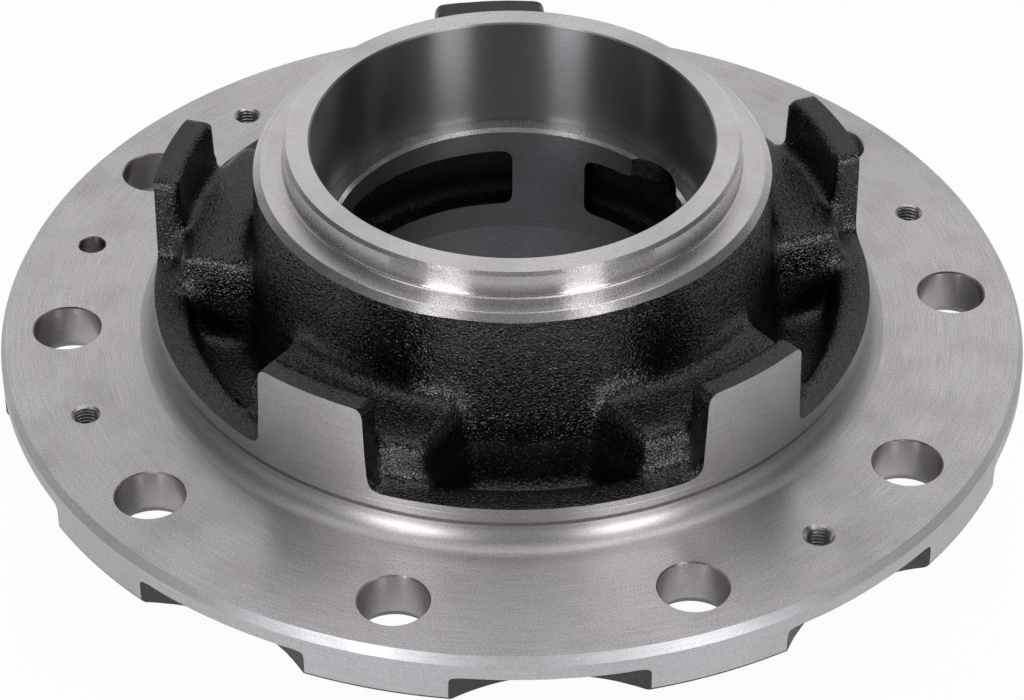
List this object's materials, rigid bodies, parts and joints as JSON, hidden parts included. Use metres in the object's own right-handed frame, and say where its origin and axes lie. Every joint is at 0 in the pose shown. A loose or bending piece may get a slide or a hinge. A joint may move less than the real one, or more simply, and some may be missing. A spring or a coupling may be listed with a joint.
{
  "type": "wheel hub",
  "caption": "Cast wheel hub with a drilled stud flange, a turned pilot ring with webbed lugs for a brake disc, and a bored barrel for taper roller bearings.",
  "frame": {"origin": "centre of the stud circle, on the flange face from which the pilot ring and the lugs rise", "axes": "+Z along the hub axis towards the seal collar (inboard), +X midway between two studs, opposite to the plain hole"},
  "size_m": [0.3848, 0.3848, 0.1586],
  "materials": {
    "hub": "turned faces bare, rough casting under satin black paint"
  },
  "bodies": {
    "root": {"hub": "hub"}
  },
  "joints": []
}
